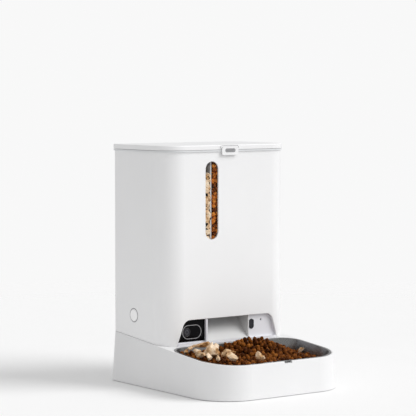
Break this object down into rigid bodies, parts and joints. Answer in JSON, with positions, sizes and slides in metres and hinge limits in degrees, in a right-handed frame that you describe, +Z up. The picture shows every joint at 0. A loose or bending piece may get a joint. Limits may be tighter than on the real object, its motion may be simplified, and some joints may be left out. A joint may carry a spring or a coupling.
{
  "type": "automatic pet feeder",
  "caption": "Tall white dry-food feeder with a hinged lid, window, chute and camera panel over a wide sloping base that holds a lift-out steel bowl.",
  "frame": {"origin": "middle of the footprint, on the surface that the feet stand on", "axes": "+Z up, -Y towards the bowl and the animal, +X to the right seen from the front"},
  "size_m": [0.241, 0.276, 0.354],
  "materials": {
    "white_base": "fine moulded satin",
    "white_body": "satin white",
    "white_lid": "satin white",
    "white_panel": "satin white",
    "white_button": "satin white",
    "chute_white": "smooth matt white",
    "tank_plastic": "smooth food-grade plastic",
    "clear_plastic": "clear",
    "bowl_steel": "brushed stainless",
    "bright_steel": "turned steel",
    "black_gloss": "piano black",
    "ring_grey": "satin grey",
    "lens_glass": "coated glass",
    "sensor_dark": "smoked plastic",
    "dark_rubber": "matt",
    "seal_silicone": "soft silicone",
    "paddle_silicone": "soft silicone",
    "gear_acetal": "natural acetal",
    "mech_plastic": "dark engineering plastic",
    "bush_brass": "sintered",
    "motor_steel": "zinc plated",
    "board_green": "solder mask",
    "chip_black": "moulded",
    "cell_wrap": "plain printed sleeve",
    "contact_metal": "nickel plated"
  },
  "bodies": {
    "housing": {"base_housing": "white_base", "bottom_plate": "white_base", "plate_screws": "bright_steel", "body_screws": "bright_steel", "rubber_feet": "dark_rubber", "backup_cells": "cell_wrap", "battery_contacts": "contact_metal", "dc_jack": "chip_black", "body_shell": "white_body", "window_pane": "clear_plastic", "speaker": "chip_black", "tank": "tank_plastic", "tank_divider": "tank_plastic", "fascia": "white_panel", "camera_panel": "black_gloss", "camera_ring": "ring_grey", "camera_lens": "lens_glass", "camera_module": "mech_plastic", "sensor_lens": "sensor_dark", "microphone": "chip_black", "chute": "chute_white", "feed_housing": "tank_plastic", "shaft_bushes": "bush_brass", "left_gear_cover": "mech_plastic", "right_gear_cover": "mech_plastic", "left_motor": "motor_steel", "right_motor": "motor_steel", "motor_screws": "bright_steel", "main_board": "board_green", "board_parts": "chip_black", "button_board": "board_green", "button_ring": "ring_grey"},
    "lid_body": {"lid": "white_lid", "lid_liner": "tank_plastic", "lid_seal": "seal_silicone", "hinge_pins": "bright_steel", "latch_pin": "bright_steel"},
    "latch_body": {"lid_latch": "white_lid", "latch_insert": "ring_grey"},
    "desiccant_body": {"desiccant_box": "tank_plastic", "desiccant_grille": "white_panel"},
    "bowl_body": {"bowl": "bowl_steel"},
    "button_body": {"side_button": "white_button"},
    "door_body": {"battery_door": "white_base"},
    "left_rotor": {"left_paddle": "paddle_silicone", "left_shaft": "bright_steel", "left_gear": "gear_acetal"},
    "right_rotor": {"right_paddle": "paddle_silicone", "right_shaft": "bright_steel", "right_gear": "gear_acetal"},
    "left_drive": {"left_pinion": "bright_steel"},
    "right_drive": {"right_pinion": "bright_steel"}
  },
  "joints": [
    {"name": "lid_hinge", "type": "hinge", "parent": "housing", "child": "lid_body", "pos_m": [0, 0.1348, 0.348], "axis": [-1, 0, 0], "range_deg": [0, 100]},
    {"name": "latch_hinge", "type": "hinge", "parent": "lid_body", "child": "latch_body", "pos_m": [0, -0.0024, 0.351], "axis": [-1, 0, 0], "range_deg": [0, 40]},
    {"name": "desiccant_slide", "type": "slide", "parent": "lid_body", "child": "desiccant_body", "axis": [0, 0, -1], "range_m": [0, 0.014]},
    {"name": "bowl_lift", "type": "slide", "parent": "housing", "child": "bowl_body", "axis": [0, 0, 1], "range_m": [0, 0.06]},
    {"name": "button_press", "type": "slide", "parent": "housing", "child": "button_body", "axis": [1, 0, 0], "range_m": [0, 0.0008], "stiffness_N_per_m": 400},
    {"name": "door_slide", "type": "slide", "parent": "housing", "child": "door_body", "axis": [0, -1, 0], "range_m": [0, 0.01]},
    {"name": "left_rotor_spin", "type": "hinge", "parent": "housing", "child": "left_rotor", "pos_m": [0, 0.042, 0.14], "axis": [1, 0, 0], "continuous": true},
    {"name": "right_rotor_spin", "type": "hinge", "parent": "housing", "child": "right_rotor", "pos_m": [0, 0.042, 0.14], "axis": [1, 0, 0], "continuous": true},
    {"name": "left_drive_spin", "type": "hinge", "parent": "housing", "child": "left_drive", "pos_m": [0, 0.0641, 0.14], "axis": [1, 0, 0], "continuous": true},
    {"name": "right_drive_spin", "type": "hinge", "parent": "housing", "child": "right_drive", "pos_m": [0, 0.0641, 0.14], "axis": [1, 0, 0], "continuous": true}
  ],
  "couplings": [
    {"joint": "left_drive_spin", "follows": "left_rotor_spin", "ratio": -2.6667},
    {"joint": "right_drive_spin", "follows": "right_rotor_spin", "ratio": -2.6667}
  ]
}
